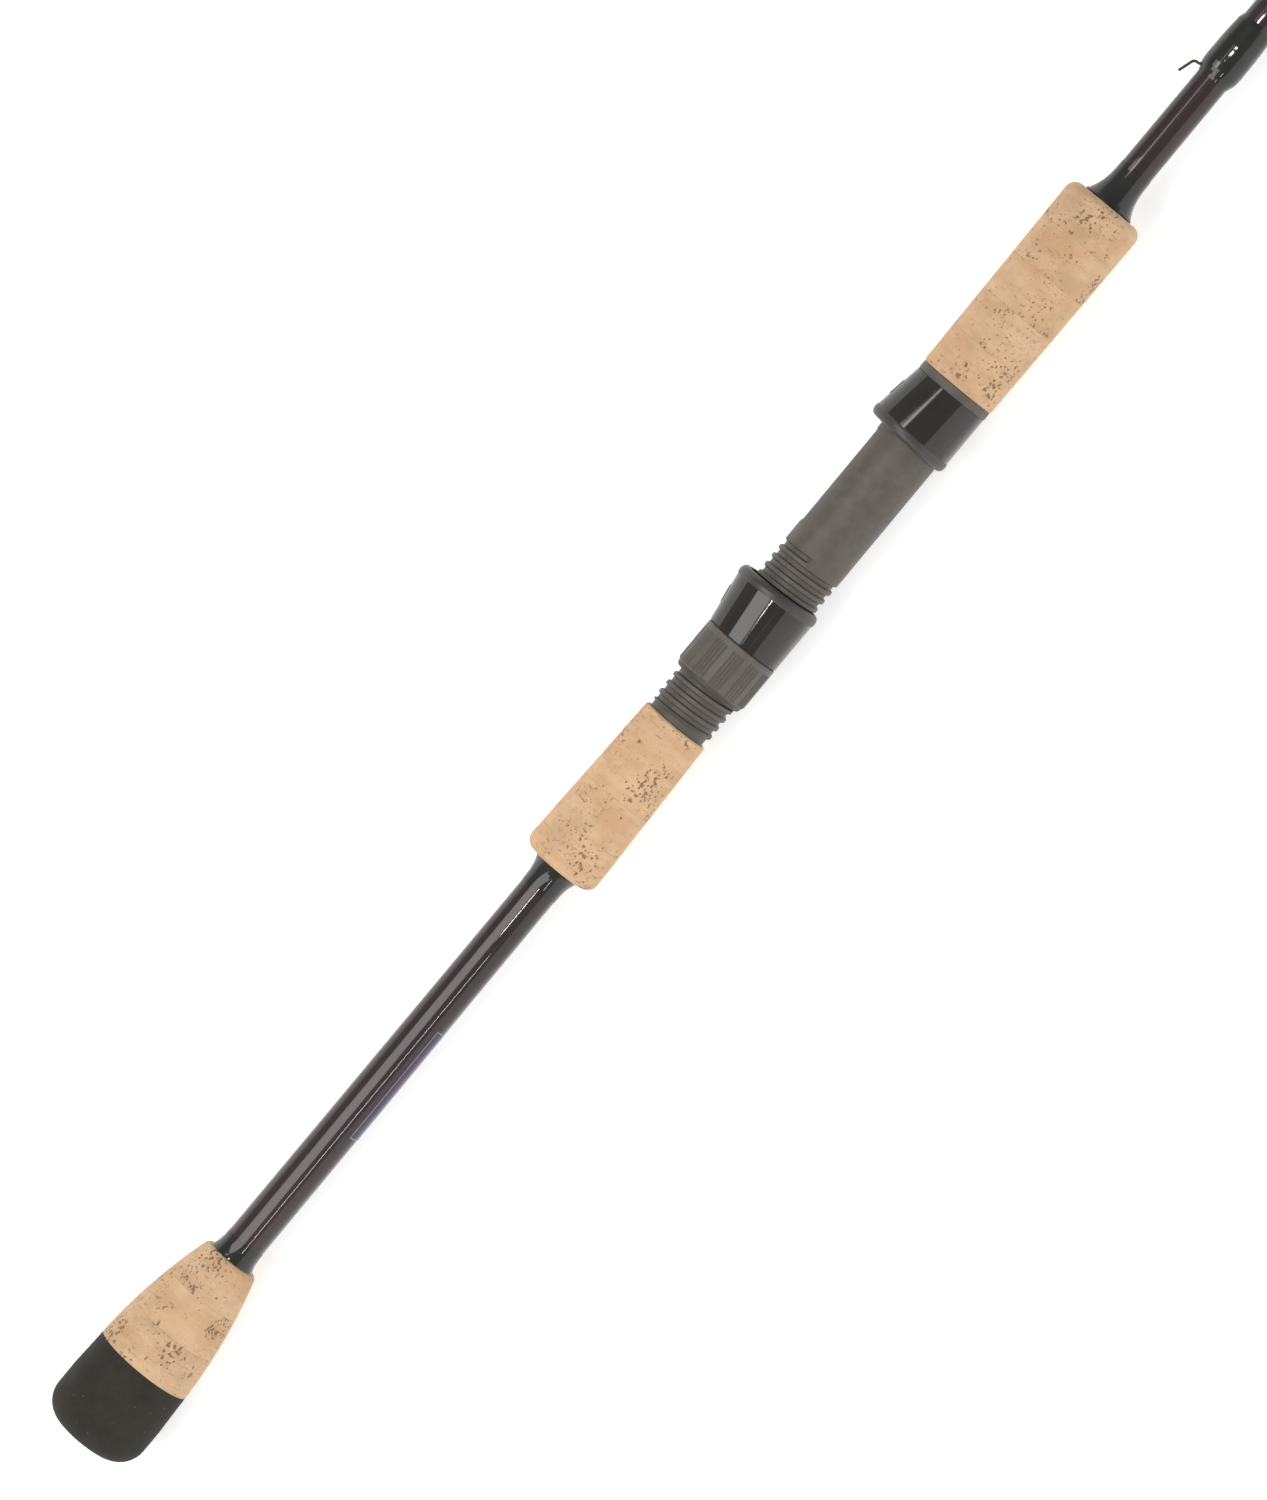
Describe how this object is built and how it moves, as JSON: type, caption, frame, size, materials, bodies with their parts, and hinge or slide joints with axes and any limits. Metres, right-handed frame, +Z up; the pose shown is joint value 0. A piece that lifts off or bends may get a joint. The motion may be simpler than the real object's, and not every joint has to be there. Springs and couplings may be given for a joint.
{
  "type": "spinning rod",
  "caption": "One-piece spinning rod with a split cork grip, a screw-locked reel seat with a sliding hood, line guides and a tip ring.",
  "frame": {"origin": "middle of the flat land on the reel seat's barrel that the reel's foot rests on", "axes": "+X along the blank from butt to tip, +Y out of the reel seat towards the reel and the guides, +Z up with the rod lying on its side"},
  "size_m": [2.0319, 0.0609, 0.0302],
  "materials": {
    "blank": "gloss clear coat over dark purple-brown graphite",
    "label_varnish": "gloss varnish over the blank",
    "foam": "matte closed-cell foam",
    "cork": "sanded cork with fine pits",
    "thread_wrap": "black thread under thick gloss varnish",
    "seat_plastic": "matte moulded nylon",
    "arbor": "rigid foam",
    "hood_gloss": "polished black",
    "hood_lip": "matte black",
    "check_ring": "black anodised",
    "keeper_wire": "black-plated steel wire",
    "guide_frame": "black-plated steel",
    "ceramic": "polished dark ceramic"
  },
  "bodies": {
    "rod": {"blank": "blank", "butt_cap": "foam", "butt_cork_1": "cork", "butt_cork_2": "cork", "butt_cork_3": "cork", "butt_trim_wrap": "thread_wrap", "rear_trim_wrap": "thread_wrap", "rear_cork_1": "cork", "rear_cork_2": "cork", "rear_cork_3": "cork", "rear_cork_4": "cork", "seat_body": "seat_plastic", "seat_thread": "seat_plastic", "seat_arbor_rear": "arbor", "seat_arbor_middle": "arbor", "seat_arbor_front": "arbor", "fixed_hood_shell": "hood_gloss", "fixed_hood_liner": "hood_lip", "front_collar": "seat_plastic", "fore_cork_1": "cork", "fore_cork_2": "cork", "fore_cork_3": "cork", "fore_cork_4": "cork", "fore_cork_5": "cork", "winding_check": "check_ring", "front_trim_wrap": "thread_wrap", "hook_keeper": "keeper_wire", "keeper_wrap": "thread_wrap", "label_coat": "label_varnish", "guide_1_frame": "guide_frame", "guide_1_ring": "ceramic", "guide_1_wraps": "thread_wrap", "guide_2_frame": "guide_frame", "guide_2_ring": "ceramic", "guide_2_wraps": "thread_wrap", "guide_3_frame": "guide_frame", "guide_3_ring": "ceramic", "guide_3_wraps": "thread_wrap", "guide_4_frame": "guide_frame", "guide_4_ring": "ceramic", "guide_4_wrap": "thread_wrap", "guide_5_frame": "guide_frame", "guide_5_ring": "ceramic", "guide_5_wrap": "thread_wrap", "guide_6_frame": "guide_frame", "guide_6_ring": "ceramic", "guide_6_wrap": "thread_wrap", "guide_7_frame": "guide_frame", "guide_7_ring": "ceramic", "guide_7_wrap": "thread_wrap", "tip_frame": "guide_frame", "tip_ring": "ceramic", "tip_wrap": "thread_wrap"},
    "sliding_hood": {"sliding_hood_shell": "hood_gloss", "sliding_hood_liner": "hood_lip"},
    "locking_nut": {"locking_nut": "seat_plastic", "nut_thread": "seat_plastic"}
  },
  "joints": [
    {"name": "hood_slide", "type": "slide", "parent": "rod", "child": "sliding_hood", "axis": [1, 0, 0], "range_m": [-0.012, 0.03]},
    {"name": "nut_turn", "type": "hinge", "parent": "sliding_hood", "child": "locking_nut", "pos_m": [-0.06785, -0.00933, 0], "axis": [1, 0, 0], "range_deg": [-1440, 3600]}
  ],
  "couplings": [
    {"joint": "hood_slide", "follows": "nut_turn", "m_per_rad": 0.00047746}
  ]
}
